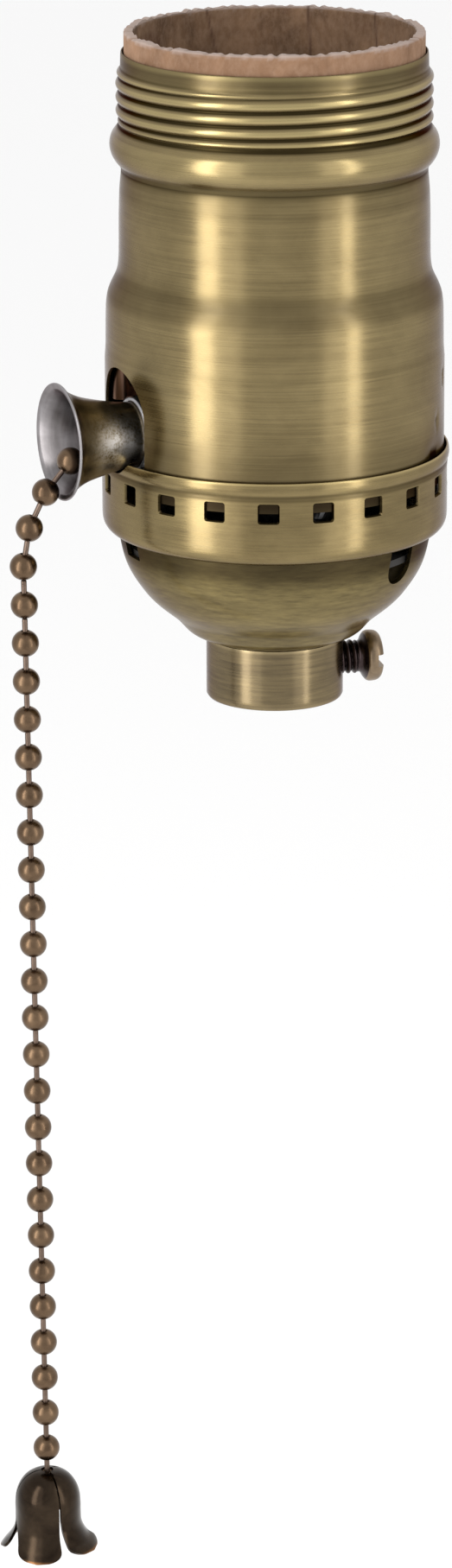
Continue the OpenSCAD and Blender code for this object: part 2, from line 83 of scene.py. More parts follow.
# ---------------------------------------------------------------- camera
def make_camera():
    """Camera in front of FRONT that looks down at the switch; small angles are in radians."""
    turn = math.radians(FRONT + 90)
    pitch, yaw, roll = 0.3006, -0.0088, -0.0028
    distance, height, lens = 661.2, 193.6, 132.964
    turned = Matrix.Rotation(turn, 3, "Z")
    ahead = Vector((math.sin(yaw) * math.cos(pitch), math.cos(yaw) * math.cos(pitch),
                    -math.sin(pitch)))
    right = Vector((math.cos(yaw), -math.sin(yaw), 0))
    up = right.cross(ahead)
    right, up = (math.cos(roll) * right + math.sin(roll) * up,
                 math.cos(roll) * up - math.sin(roll) * right)
    data = bpy.data.cameras.new("camera")
    data.sensor_width = 36
    data.lens = lens
    data.clip_start, data.clip_end = 0.01, 20
    cam = bpy.data.objects.new("camera", data)
    bpy.context.scene.collection.objects.link(cam)
    axes = Matrix((turned @ right, turned @ up, turned @ -ahead)).transposed().to_4x4()
    axes.translation = turned @ Vector((0, -distance * MM, height * MM))
    cam.matrix_world = axes
    bpy.context.scene.camera = cam


make_camera()


# ---------------------------------------------------------------- profiles
def smoothstep(x, a, b):
    """Rises smoothly from 0 at a to 1 at b."""
    t = np.clip((x - a) / (b - a), 0, 1)
    return t * t * (3 - 2 * t)


def spline(points, per):
    """Smooth curve through points (centripetal Catmull-Rom), per steps to each span."""
    p = [np.array(q, float) for q in points]
    p = [2 * p[0] - p[1]] + p + [2 * p[-1] - p[-2]]
    out = []
    for a, b, c, d in zip(p, p[1:], p[2:], p[3:]):
        t1 = np.linalg.norm(b - a) ** 0.5
        t2 = t1 + np.linalg.norm(c - b) ** 0.5
        t3 = t2 + np.linalg.norm(d - c) ** 0.5
        for i in range(per):
            t = t1 + (t2 - t1) * i / per
            ab = a * (t1 - t) / t1 + b * t / t1
            bc = b * (t2 - t) / (t2 - t1) + c * (t - t1) / (t2 - t1)
            cd = c * (t3 - t) / (t3 - t2) + d * (t - t2) / (t3 - t2)
            abc = ab * (t2 - t) / t2 + bc * t / t2
            bcd = bc * (t3 - t) / (t3 - t1) + cd * (t - t1) / (t3 - t1)
            out.append(abc * (t2 - t) / (t2 - t1) + bcd * (t - t1) / (t2 - t1))
    return out + [p[-2]]


def fillet(points, radius):
    """Open polyline with its inner corners rounded to radius."""
    steps = 4
    out = [np.array(points[0], float)]
    for a, b, c in zip(points, points[1:], points[2:]):
        a, b, c = (np.array(q, float) for q in (a, b, c))
        u, v = a - b, c - b
        room = min(radius, np.linalg.norm(u) * 0.45, np.linalg.norm(v) * 0.45)
        s, e = b + u / np.linalg.norm(u) * room, b + v / np.linalg.norm(v) * room
        for i in range(steps + 1):
            t = i / steps
            out.append((1 - t) ** 2 * s + 2 * t * (1 - t) * b + t * t * e)
    return out + [np.array(points[-1], float)]


def divide(points, step):
    """Open polyline with every span cut to step or shorter, without its last point."""
    points = [np.array(p, float) for p in points]
    out = []
    for a, b in zip(points, points[1:]):
        n = max(1, math.ceil(np.linalg.norm(b - a) / step))
        out += [a + (b - a) * i / n for i in range(n)]
    return out


def dedupe(points):
    """Closed profile without points that lie closer together than least."""
    least = 0.01
    out = []
    for p in points:
        p = np.array(p, float)
        if not out or np.linalg.norm(p - out[-1]) > least:
            out.append(p)
    if np.linalg.norm(out[0] - out[-1]) < least:
        out.pop()
    return out


# ---------------------------------------------------------------- meshes
SMOOTH_ANGLE = 32


def store(mesh, name, values):
    """Keeps one number for each point of the mesh, for the materials to read."""
    attribute = mesh.attributes.new(name, "FLOAT", "POINT")
    attribute.data.foreach_set("value", np.asarray(values, np.float32))


def add_mesh(name, mesh):
    """Puts the mesh in the scene as a new object."""
    obj = bpy.data.objects.new(name, mesh)
    bpy.context.scene.collection.objects.link(obj)
    return obj


def remove(obj):
    """Deletes an object and its mesh."""
    mesh = obj.data
    bpy.data.objects.remove(obj)
    bpy.data.meshes.remove(mesh)


def new_object(name, verts, faces, smooth_angle, relief=None):
    """Object from points in metres, shaded smooth up to smooth_angle degrees."""
    mesh = bpy.data.meshes.new(name)
    mesh.from_pydata([tuple(v) for v in verts], [], faces)
    mesh.validate()
    if relief is not None:
        store(mesh, "relief", relief)
    obj = add_mesh(name, mesh)
    tidy_normals(obj, smooth_angle)
    return obj


def tidy_normals(obj, smooth_angle):
    """Turns every face outwards and shades the mesh smooth up to smooth_angle degrees."""
    mesh = obj.data
    bm = bmesh.new()
    bm.from_mesh(mesh)
    bmesh.ops.recalc_face_normals(bm, faces=bm.faces)
    bm.to_mesh(mesh)
    bm.free()
    mesh.polygons.foreach_set("use_smooth", [True] * len(mesh.polygons))
    mesh.set_sharp_from_angle(angle=math.radians(smooth_angle))


def relief_of(pos, length, sigma):
    """How far each profile point lies in a groove (+) or on an edge (-), from a local average."""
    total = length[-1]
    gap = np.abs(length[:-1, None] - length[None, :-1])
    gap = np.minimum(gap, total - gap)
    weight = np.exp(-0.5 * (gap / sigma) ** 2) * np.diff(length)[None, :]
    weight /= weight.sum(1, keepdims=True)
    mean = np.einsum("ij,jsk->isk", weight, pos)
    ahead = np.roll(pos, -1, 0) - np.roll(pos, 1, 0)
    normal = np.stack([ahead[..., 1], -ahead[..., 0]], -1)
    normal /= np.linalg.norm(normal, axis=-1, keepdims=True) + 1e-9
    return np.einsum("isk,isk->is", mean - pos, normal)


def revolve(name, profile, segments, step, shape=None, *, sigma, frame_of=None,
            smooth_angle=SMOOTH_ANGLE):
    """Solid of revolution about +Z from a closed (radius, height) profile.

    The profile runs round its section anticlockwise. shape(theta, r, z) may return changed
    r and z. frame_of places the solid, and sigma is the reach of the relief in mm.
    """
    outline = dedupe(profile)
    pts = np.array(divide(outline + outline[:1], step))
    theta = np.arange(segments) / segments * TAU
    r = np.repeat(pts[:, :1], segments, 1)
    z = np.repeat(pts[:, 1:], segments, 1)
    if shape:
        r, z = shape(np.broadcast_to(theta, r.shape), r, z)
    loop = np.vstack([pts, pts[:1]])
    length = np.concatenate([[0], np.cumsum(np.linalg.norm(np.diff(loop, axis=0), axis=1))])
    relief = relief_of(np.stack([r, z], -1), length, sigma)
    xyz = np.stack([r * np.cos(theta), r * np.sin(theta), z], -1).reshape(-1, 3) * MM
    if frame_of is not None:
        xyz = xyz @ np.array(frame_of.to_3x3()).T + np.array(frame_of.translation)
    n = len(pts)
    faces = []
    for i in range(n):
        a, b = i * segments, (i + 1) % n * segments
        for j in range(segments):
            k = (j + 1) % segments
            faces.append((a + j, a + k, b + k, b + j))
    return new_object(name, xyz, faces, smooth_angle, relief.reshape(-1))


# Turns an outline drawn in XY to face outwards along +X, with its Y up.
OUTWARDS = Matrix(((0, 0, 1, 0), (1, 0, 0, 0), (0, 1, 0, 0), (0, 0, 0, 1)))


def extrude_outline(name, outline, depth, matrix, taper=(1, 1)):
    """Prism from a closed 2D outline (mm), from z = 0 to depth, placed by matrix (metres).

    taper is the scale of the outline at its two ends.
    """
    bm = bmesh.new()
    low, high = ([bm.verts.new((x * scale * MM, y * scale * MM, z * MM)) for x, y in outline]
                 for scale, z in zip(taper, (0, depth)))
    bm.faces.new(low[::-1])
    bm.faces.new(high)
    for i in range(len(low)):
        j = (i + 1) % len(low)
        bm.faces.new((low[i], low[j], high[j], high[i]))
    bm.transform(matrix)
    mesh = bpy.data.meshes.new(name)
    bm.to_mesh(mesh)
    bm.free()
    return add_mesh(name, mesh)


def outward_prism(name, outline, angle, start, height, depth, taper=(1, 1)):
    """Prism that points outwards at angle degrees, from start to start + depth off the axis."""
    place = (Matrix.Rotation(math.radians(angle), 4, "Z")
             @ Matrix.Translation((start * MM, 0, height * MM)) @ OUTWARDS)
    return extrude_outline(name, outline, depth, place, taper)


def arc(cx, cy, r, a0, a1, steps):
    """Points on an arc about (cx, cy), from a0 to a1 degrees."""
    return [(cx + r * math.cos(math.radians(a0 + (a1 - a0) * i / steps)),
             cy + r * math.sin(math.radians(a0 + (a1 - a0) * i / steps)))
            for i in range(steps + 1)]


def rounded_box(w, h, r):
    """Rectangle about the origin with round corners."""
    steps = 4
    x, y = w / 2 - r, h / 2 - r
    return (arc(x, y, r, 0, 90, steps) + arc(-x, y, r, 90, 180, steps)
            + arc(-x, -y, r, 180, 270, steps) + arc(x, -y, r, 270, 360, steps))


def carve(obj, cutters, smooth_angle=SMOOTH_ANGLE):
    """Cuts the cutters out of obj and removes them. Untouched surface keeps its smooth shading."""
    near, same_way = 0.9 * MM, 0.8
    mesh = obj.data
    old = KDTree(len(mesh.vertices))
    normals = [v.normal.copy() for v in mesh.vertices]
    for i, v in enumerate(mesh.vertices):
        old.insert(v.co, i)
    old.balance()
    for cutter in cutters:
        mod = obj.modifiers.new("cut", "BOOLEAN")
        mod.operation, mod.solver, mod.object = "DIFFERENCE", "EXACT", cutter
    graph = bpy.context.evaluated_depsgraph_get()
    cut = bpy.data.meshes.new_from_object(obj.evaluated_get(graph))
    obj.modifiers.clear()
    obj.data = cut
    for cutter in cutters:
        remove(cutter)
    cut.polygons.foreach_set("use_smooth", [True] * len(cut.polygons))
    cut.set_sharp_from_angle(angle=math.radians(smooth_angle))
    custom = []
    for poly in cut.polygons:
        for li in poly.loop_indices:
            co = cut.vertices[cut.loops[li].vertex_index].co
            _, index, gap = old.find(co)
            n = normals[index]
            keep = gap < near and n.dot(poly.normal) > same_way
            custom.append(n if keep else poly.normal)
    cut.normals_split_custom_set(custom)
    return obj


def round_places(obj):
    """All points of obj as three arrays: distance from the axis, degrees from +X, and height."""
    co = np.zeros(len(obj.data.vertices) * 3, np.float32)
    obj.data.vertices.foreach_get("co", co)
    co = co.reshape(-1, 3) / MM
    return np.hypot(co[:, 0], co[:, 1]), np.degrees(np.arctan2(co[:, 1], co[:, 0])), co[:, 2]


def mark(obj, name, rule):
    """Stores rule(distance from the axis, height), kept between 0 and 1, for each point."""
    radius, _, height = round_places(obj)
    store(obj.data, name, np.clip(rule(radius, height), 0, 1))


def join(name, objects):
    """One object from several, keeping the shapes where they are."""
    bm = bmesh.new()
    materials = []
    for o in objects:
        start = len(bm.faces)
        bm.from_mesh(o.data)
        bm.faces.ensure_lookup_table()
        offset = len(materials)
        for f in bm.faces[start:]:
            f.material_index += offset
        materials += list(o.data.materials)
    mesh = bpy.data.meshes.new(name)
    bm.to_mesh(mesh)
    bm.free()
    for m in materials:
        mesh.materials.append(m)
    for o in objects:
        remove(o)
    return add_mesh(name, mesh)


# ---------------------------------------------------------------- materials
class Nodes:
    """Short hand for building one material's nodes."""

    def __init__(self, name):
        self.m = bpy.data.materials.new(name)
        self.m.use_nodes = True
        self.t = self.m.node_tree
        self.t.nodes.clear()
        self.out = self.t.nodes.new("ShaderNodeOutputMaterial")
        self.bsdf = self.t.nodes.new("ShaderNodeBsdfPrincipled")
        self.t.links.new(self.bsdf.outputs[0], self.out.inputs[0])
        self.coord = self.t.nodes.new("ShaderNodeTexCoord").outputs["Object"]

    def link(self, a, b):
        self.t.links.new(a, b)

    def put(self, socket, value):
        """Links another socket or sets a plain value."""
        if hasattr(value, "is_linked") or hasattr(value, "links"):
            self.link(value, socket)
        else:
            socket.default_value = value

    def scaled(self, x, y, z, turn=None):
        """Object coordinates stretched along each axis, so a larger scale is a finer pattern."""
        n = self.t.nodes.new("ShaderNodeMapping")
        self.link(self.coord, n.inputs["Vector"])
        n.inputs["Scale"].default_value = (x, y, z)
        if turn:
            n.inputs["Rotation"].default_value = turn
        return n.outputs[0]

    def noise(self, vector, detail, rough=0.55, distortion=0.0):
        n = self.t.nodes.new("ShaderNodeTexNoise")
        self.link(vector, n.inputs["Vector"])
        n.inputs["Scale"].default_value = 1.0
        n.inputs["Detail"].default_value = detail
        n.inputs["Roughness"].default_value = rough
        n.inputs["Distortion"].default_value = distortion
        return n.outputs["Fac"]

    def span(self, value, a, b, c=0.0, d=1.0):
        """Maps a..b to c..d, clamped."""
        n = self.t.nodes.new("ShaderNodeMapRange")
        self.link(value, n.inputs["Value"])
        for key, v in (("From Min", a), ("From Max", b), ("To Min", c), ("To Max", d)):
            n.inputs[key].default_value = v
        return n.outputs[0]

    def math(self, kind, a, b):
        n = self.t.nodes.new("ShaderNodeMath")
        n.operation = kind
        self.put(n.inputs[0], a)
        self.put(n.inputs[1], b)
        return n.outputs[0]

    def mix(self, fac, a, b):
        """Colour between a and b; either may be a tuple or a socket."""
        n = self.t.nodes.new("ShaderNodeMix")
        n.data_type = "RGBA"
        self.put(n.inputs[0], fac)
        self.put(n.inputs[6], (*a, 1) if isinstance(a, tuple) else a)
        self.put(n.inputs[7], (*b, 1) if isinstance(b, tuple) else b)
        return n.outputs[2]

    def attribute(self, name):
        n = self.t.nodes.new("ShaderNodeAttribute")
        n.attribute_name = name
        return n.outputs["Fac"]

    def bump(self, height, strength, distance):
        n = self.t.nodes.new("ShaderNodeBump")
        n.inputs["Strength"].default_value = strength
        n.inputs["Distance"].default_value = distance
        self.link(height, n.inputs["Height"])
        self.link(n.outputs[0], self.bsdf.inputs["Normal"])

    def set(self, **values):
        """Sets inputs of the surface shader by name."""
        for key, value in values.items():
            self.put(self.bsdf.inputs[key.replace("_", " ")], value)


BARE_METAL = (0.62, 0.60, 0.58)
# Near-black colour of painted shade.
PAINTED_SHADE = (0.017, 0.011, 0.007)
METAL_TINT = (0.42, 0.36, 0.36, 1)


def brushed_metal(name, dark, light, worn, rough=0.27, lines=(70, 70, 5200), blotch=90,
                  groove=0.11, anisotropy=0.6, patchy=0.5, axis="Z", patina=False, slant=None):
    """Tarnished brushed metal: brushing lines, cloudy patina, patina and painted shade in grooves, worn
    edges and painted shade where marked.
    """
    lacquer, lines_depth = 0.5, 0.3
    n = Nodes(name)
    fine = n.noise(n.scaled(*lines), 3, 0.6)
    wide = n.noise(n.scaled(*(v * 0.22 for v in lines)), 3, 0.55)
    if slant:
        scratch = n.noise(n.scaled(260, 260, 3400, slant), 3, 0.6)
        wide = n.math("ADD", n.math("MULTIPLY", wide, 0.4), n.math("MULTIPLY", scratch, 0.6))
    cloud = n.noise(n.scaled(blotch, blotch, blotch * 1.6), 5, 0.6, 0.4)
    brushed = n.math("ADD", n.math("MULTIPLY", fine, 0.7), n.math("MULTIPLY", wide, 0.3))
    tone = n.math("ADD", n.math("MULTIPLY", n.span(brushed, 0.3, 0.7), 1 - patchy),
                  n.math("MULTIPLY", n.span(cloud, 0.32, 0.68), patchy))
    colour = n.mix(tone, dark, light)
    relief = n.attribute("relief")
    in_groove = n.span(relief, 0.0, groove)
    on_edge = n.span(relief, -0.03, -groove)
    # Grooves turn dark: dark patina plus painted shade.
    colour = n.mix(n.math("MULTIPLY", in_groove, 0.93), colour, tuple(v * 0.16 for v in dark))
    colour = n.mix(n.math("MULTIPLY", on_edge, 0.55), colour, worn)
    if patina:
        speck = n.noise(n.scaled(3600, 3600, 3600), 3)
        bare = n.math("MULTIPLY", n.attribute("bare"),
                      n.span(n.math("ADD", speck, cloud), 0.74, 1.12))
        colour = n.mix(bare, colour, BARE_METAL)
    # Painted shade: marked parts turn almost black, with less lacquer and more roughness.
    painted_shade = n.attribute("painted_shade")
    colour = n.mix(n.math("MULTIPLY", painted_shade, 0.94), colour, PAINTED_SHADE)
    dull = n.math("ADD", n.math("MULTIPLY", in_groove, 0.12), n.math("MULTIPLY", painted_shade, 0.15))
    roughness = n.math("ADD", n.span(brushed, 0.3, 0.7, rough - 0.06, rough + 0.07), dull)
    n.set(Base_Color=colour, Metallic=1.0, Roughness=roughness, Specular_Tint=METAL_TINT,
          Anisotropic=anisotropy, Anisotropic_Rotation=0.25)
    unshaded = n.math("MULTIPLY", n.math("SUBTRACT", 1.0, painted_shade), n.math("SUBTRACT", 1.0, in_groove))
    n.set(Coat_Weight=n.math("MULTIPLY", unshaded, lacquer), Coat_Roughness=0.2)
    tangent = n.t.nodes.new("ShaderNodeTangent")
    tangent.direction_type = "RADIAL"
    tangent.axis = axis
    n.link(tangent.outputs[0], n.bsdf.inputs["Tangent"])
    n.bump(brushed, lines_depth, 0.00002)
    return n.m


def paper():
    """Brown paper: fibres, mottling and stains, a paler cut edge and dark creases."""
    n = Nodes("kraft_paper")
    fibre = n.noise(n.scaled(1400, 1400, 900), 4, 0.65)
    mottle = n.noise(n.scaled(170, 170, 120), 6, 0.62, 0.8)
    stain = n.noise(n.scaled(75, 75, 110), 3, 0.5, 0.5)
    inside = n.attribute("inside")
    edge = n.attribute("cut_edge")
    crease = n.attribute("crease")
    outer = n.mix(n.span(mottle, 0.3, 0.7), (0.160, 0.086, 0.047), (0.285, 0.165, 0.098))
    inner = n.mix(n.span(mottle, 0.3, 0.7), (0.080, 0.044, 0.024), (0.225, 0.134, 0.078))
    colour = n.mix(inside, outer, inner)
    colour = n.mix(n.math("MULTIPLY", n.span(stain, 0.56, 0.66), n.math("MULTIPLY", inside, 0.6)),
                   colour, (0.10, 0.045, 0.028))
    colour = n.mix(n.span(fibre, 0.4, 0.75, 0.0, 0.28), colour, (0.38, 0.26, 0.185))
    colour = n.mix(n.math("MULTIPLY", edge, 0.7), colour, (0.40, 0.33, 0.30))
    colour = n.mix(n.math("MULTIPLY", crease, 0.75), colour, (0.06, 0.028, 0.018))
    height = n.math("ADD", n.math("MULTIPLY", fibre, 0.5), mottle)
    n.set(Base_Color=colour, Roughness=0.86, Specular_IOR_Level=0.25)
    n.bump(height, 0.55, 0.00012)
    return n.m


def moulding(name, base, rough):
    """Moulded plastic or fibre board, slightly cloudy."""
    n = Nodes(name)
    grain = n.noise(n.scaled(1800, 1800, 1800), 3)
    cloud = n.noise(n.scaled(140, 140, 140), 4)
    n.set(Base_Color=n.mix(n.span(cloud, 0.3, 0.7), base, tuple(v * 1.9 + 0.004 for v in base)),
          Roughness=n.span(cloud, 0.3, 0.7, rough, rough + 0.14))
    n.bump(grain, 0.12, 0.00003)
    return n.m


WORN_BROWN = (0.30, 0.135, 0.05)


def drawn_metal(name, dark, light, rough=0.3, scale=260, streak=1, relief_dark=0.6):
    """Plain stamped or turned metal with cloudy tarnish and a satin surface."""
    n = Nodes(name)
    cloud = n.noise(n.scaled(scale, scale, scale * streak), 5, 0.6, 0.5)
    speck = n.noise(n.scaled(2600, 2600, 2600), 2)
    colour = n.mix(n.span(cloud, 0.3, 0.7), dark, light)
    # Grooves turn dark: dark patina plus painted shade.
    groove = n.span(n.attribute("relief"), 0.005, 0.09)
    colour = n.mix(n.math("MULTIPLY", groove, relief_dark), colour, tuple(v * 0.35 for v in dark))
    colour = n.mix(n.math("MULTIPLY", n.attribute("worn"), 0.75), colour, WORN_BROWN)
    n.set(Base_Color=colour, Metallic=1.0,
          Roughness=n.span(cloud, 0.25, 0.75, rough - 0.06, rough + 0.1))
    n.bump(speck, 0.15, 0.00002)
    return n.m


# Each brushed metal has its dark, light and worn colour.
BRASS = brushed_metal(
    "antique_brass", (0.137, 0.098, 0.037), (0.276, 0.211, 0.093), (0.50, 0.40, 0.18))
BRASS_CAP = brushed_metal(
    "antique_brass_cap", (0.138, 0.098, 0.036), (0.280, 0.212, 0.089), (0.55, 0.43, 0.19),
    lines=(160, 160, 3800), patchy=0.6)
BRASS_DOME = brushed_metal(
    "antique_brass_dome", (0.088, 0.064, 0.022), (0.290, 0.225, 0.086), (0.42, 0.34, 0.16),
    rough=0.34, lines=(420, 420, 2600), patchy=0.3, slant=(0.35, 0.55, 0))
BRASS_HUB = brushed_metal(
    "antique_brass_hub", (0.075, 0.053, 0.026), (0.245, 0.185, 0.090), (0.46, 0.36, 0.19),
    lines=(130, 130, 2600), patchy=0.35)
BELL_OUT = brushed_metal(
    "bell_outside", (0.088, 0.064, 0.030), (0.330, 0.262, 0.145), (0.52, 0.48, 0.42),
    rough=0.3, lines=(700, 420, 420), axis="X", patchy=0.7, blotch=260, anisotropy=0.3,
    patina=True)
BELL_IN = brushed_metal(
    "bell_inside", (0.115, 0.105, 0.105), (0.330, 0.310, 0.320), (0.62, 0.61, 0.62),
    rough=0.36, lines=(2200, 240, 240), axis="X", patchy=0.55, blotch=160, groove=0.5)
# Each drawn metal has its dark and light colour, then roughness and the size of its clouds.
RING_METAL = drawn_metal("pale_ring", (0.22, 0.21, 0.21), (0.50, 0.50, 0.52))
COPPER = drawn_metal(
    "copper_strap", (0.13, 0.055, 0.03), (0.42, 0.21, 0.13), scale=180, streak=0.2)
LUG_COPPER = drawn_metal(
    "bracket_copper", (0.075, 0.040, 0.025), (0.34, 0.20, 0.14), scale=420, streak=0.15)
# Darker copies of the stamped brass and plated steel for the terminals inside the body: painted shade.
SHADED_BRASS = drawn_metal("terminal_brass_shaded", (0.13, 0.09, 0.035), (0.30, 0.21, 0.09), 0.34)
SHADED_STEEL = drawn_metal("terminal_steel_shaded", (0.12, 0.12, 0.12), (0.26, 0.26, 0.27), 0.34)
BRIGHT = drawn_metal("stamped_brass", (0.48, 0.34, 0.13), (0.74, 0.56, 0.25), 0.24)
STEEL = drawn_metal("plated_steel", (0.42, 0.42, 0.43), (0.66, 0.66, 0.67), 0.25)
BEAD = drawn_metal(
    "chain_bronze", (0.090, 0.058, 0.036), (0.175, 0.115, 0.070), 0.27, 420, relief_dark=0.9)
LINK = drawn_metal("chain_link", (0.11, 0.078, 0.060), (0.20, 0.145, 0.115), 0.34, 600)
TULIP = drawn_metal("dark_bronze", (0.020, 0.014, 0.010), (0.050, 0.035, 0.023), 0.2, 300)
SCREW = drawn_metal("screw_head", (0.150, 0.110, 0.072), (0.300, 0.225, 0.150), 0.33, 500)
# Darker copy of the screw metal for the thread and neck under the head: painted shade.
SCREW_SHADED = drawn_metal("screw_thread_shaded", (0.020, 0.014, 0.013), (0.070, 0.050, 0.050), 0.3, 500)
PHENOLIC = moulding("black_moulding", (0.0030, 0.0026, 0.0024), 0.2)
ROTOR_MAT = moulding("grey_moulding", (0.07, 0.066, 0.062), 0.4)
# Near black, as painted shade inside the cap where the liner shows through the dome's slots.
SHADED_FIBRE = moulding("vulcanised_fibre_shaded", (0.010, 0.009, 0.008), 0.6)
PAPER = paper()


def dress(obj, material, body, slot_name, *nodes):
    """Gives a piece its material and body and hides the CAD nodes it stands for; slot_name is not used.
    """
    if material is not None:
        obj.data.materials.clear()
        obj.data.materials.append(material)
    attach(obj, body)
    if nodes:
        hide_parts(*nodes)
    return obj


# ---------------------------------------------------------------- bead chain
def bead_profile():
    """Half section of a hollow bead with a turned-in hole at each end, about its own Z."""
    hole, wall = 0.43, 0.28
    top = math.degrees(math.acos(hole * 1.25 / BEAD_R))
    outside = arc(0, 0, BEAD_R, -top, top, 28)
    lip_z = BEAD_R * math.sin(math.radians(top))
    inner_r = BEAD_R - wall
    inner_top = math.degrees(math.acos(hole / inner_r))
    inside = arc(0, 0, inner_r, inner_top, -inner_top, 14)
    return outside + [(hole, lip_z - 0.09)] + inside + [(hole, -lip_z + 0.09)]


def upright(a, b):
    """Turns +Z to the direction from a to b, both (distance, height) points."""
    d = Vector(row(np.array(b) - np.array(a)))
    return d.to_track_quat("Z", "Y").to_matrix().to_4x4()


def chain_bead(p, along):
    """Hollow bead at p, with its holes in line with the two points of along."""
    place = Matrix.Translation(Vector(row(p)) * MM) @ upright(*along)
    bead = revolve("bead", bead_profile(), 48, 0.5, sigma=0.25, frame_of=place, smooth_angle=50)
    bead.data.materials.append(BEAD)
    return bead


def chain_link(a, b, pivots):
    """Wire link with a head inside each bead; one that pivots about bead a stops just outside it."""
    a, b = np.array(a, float), np.array(b, float)
    length = np.linalg.norm(b - a)
    head, inset = 0.62, 0.75
    half = [(0.02, inset), (head * 0.8, inset + 0.02), (head, inset + 0.25),
            (LINK_R * 1.08, inset + 0.6), (LINK_R, inset + 0.85)]
    far = [(r, length - z) for r, z in reversed(half)]
    if pivots:
        end = BEAD_R + 0.04
        half = [(0.02, end), (LINK_R * 0.8, end), (LINK_R, end + 0.08)]
    profile = half + [(LINK_R, length / 2)] + far
    place = Matrix.Translation(Vector(row(a)) * MM) @ upright(a, b)
    link = revolve("link", profile, 24, 0.5, sigma=0.2, frame_of=place, smooth_angle=60)
    link.data.materials.append(LINK)
    return link


def chain_stretch(name, beads, links, directions, body, node):
    """The beads and links that ride on one body, as one piece."""
    pivots = [tuple(DROP), tuple(hang(1))]
    parts = [chain_bead(p, d) for p, d in zip(beads, directions)]
    parts += [chain_link(a, b, tuple(a) in pivots) for a, b in links]
    return dress(join(name, parts), None, body, "chain_bronze", node)


def make_chain():
    """All beads along one route, cut into the stretches that move on their own."""
    inner = [(INNER_FIRST - i * BEAD_PITCH, BELL_Z) for i in range(INNER_COUNT)][::-1]
    route = inner + [THROAT, LIP_A, LIP_B, LIP_C, DROP]
    route += [tuple(hang(k)) for k in range(1, HANG_COUNT + 2)]
    n, last = INNER_COUNT, len(route) - 1
    lean = [(route[max(i - 1, 0)], route[min(i + 1, last)]) for i in range(last + 1)]

    def stretch(name, first, end, links, body, node):
        return chain_stretch(name, route[first:end], [(route[i], route[i + 1]) for i in links],
                             lean[first:end], body, node)

    stretch("inner_beads", 0, n, range(n), "inner_chain", "inner_chain")
    # Each single bead: its piece, body and node, and the links that ride with it.
    singles = [("throat_ball", "throat", "throat_bead", [n]),
               ("lip_ball_a", "lip_a", "lip_bead_a", [n + 1]),
               ("lip_ball_b", "lip_b", "lip_bead_b", [n + 2]),
               ("lip_ball_c", "lip_c", "lip_bead_c", [n + 3]),
               ("drop_ball", "drop", "drop_bead", []),
               ("swing_ball", "swing", "swing_bead", [n + 4])]
    lips = [stretch(name, i, i + 1, links, body, node)
            for i, (name, body, node, links) in enumerate(singles, n)]
    chain = stretch("hanging_beads", n + len(singles), last + 1, range(n + 5, last),
                    "chain", "hanging_chain")
    return chain, lips


# ---------------------------------------------------------------- pull end
# Each petal: where its base begins and ends, then the centre and half width of its tip, all in
# degrees from FRONT, then the radius of the flare, the length of the round tongue and the tip's
# height from the last bead.
PETALS = [(-79, 24, -14, 38, 5.3, 1.7, -8.66), (24, 139, 67, 37, 6.1, 2.1, -8.0),
          (139, 281, 251, 36, 6.05, 1.7, -8.42)]
PETAL_WALL = 0.38
PETAL_COLUMNS = 40
PULL_R = 3.98
PULL_SMOOTH = 40


def sheet_faces(rows, columns):
    """Faces of a closed sheet whose outer points come first, row by row, then its inner ones."""
    width = columns + 1
    inner = rows * width
    faces = []
    for i in range(rows - 1):
        for c in range(columns):
            a = i * width + c
            faces.append((a, a + 1, a + 1 + width, a + width))
            faces.append((inner + a, inner + a + width, inner + a + 1 + width, inner + a + 1))
        for c in (0, columns):
            a = i * width + c
            faces.append((a, a + width, inner + a + width, inner + a))
    for i in (0, rows - 1):
        for c in range(columns):
            a = i * width + c
            faces.append((a, a + 1, inner + a + 1, inner + a))
    return faces


def make_petal(place, low, high, tip, tip_half, flare, tongue, tip_z):
    """One petal: a strip of a sheet of revolution that flares and ends in a round tongue."""
    rise = flare - PULL_R
    outside = np.array(spline([
        (0.75, 1.73), (1.65, 1.53), (2.7, 0.9), (3.45, -0.1), (3.85, -1.2), (PULL_R, -2.4),
        (PULL_R, -3.8), (4.03, -5.0), (PULL_R + rise * 0.15, -5.9), (PULL_R + rise * 0.42, -6.85),
        (PULL_R + rise * 0.75, tip_z + 0.72), (flare, tip_z)], 6))
    ahead = np.gradient(outside, axis=0)
    normal = np.stack([ahead[:, 1], -ahead[:, 0]], -1)
    normal /= np.linalg.norm(normal, axis=1, keepdims=True)
    inside = outside + normal * PETAL_WALL
    walked = np.concatenate([[0], np.cumsum(np.linalg.norm(np.diff(outside, axis=0), axis=1))])
    middle, half = (low + high) / 2, (high - low) / 2
    verts = []
    for side in (outside, inside):
        for (r, z), base_r, way in zip(side, outside[:, 0], walked):
            share = way / walked[-1]
            turn = smoothstep(share, 0.58, 0.92)
            gap = math.degrees(0.22 + 0.18 * smoothstep(share, 0.5, 0.85)) / max(base_r, 1.2)
            centre = middle + (tip - middle) * turn
            spread = (half + (tip_half - half) * turn) - gap / 2
            past = way - (walked[-1] - tongue)
            if past > 0:
                spread *= math.sqrt(max(1 - (past / tongue) ** 2.8, 0.0005))
            for c in range(PETAL_COLUMNS + 1):
                a = math.radians(centre + spread * (2 * c / PETAL_COLUMNS - 1) + FRONT)
                verts.append((r * math.cos(a) * MM, r * math.sin(a) * MM, z * MM))
    xyz = (np.array(verts) @ np.array(place.to_3x3()).T) + np.array(place.translation)
    return new_object("petal", xyz, sheet_faces(len(outside), PETAL_COLUMNS), PULL_SMOOTH)


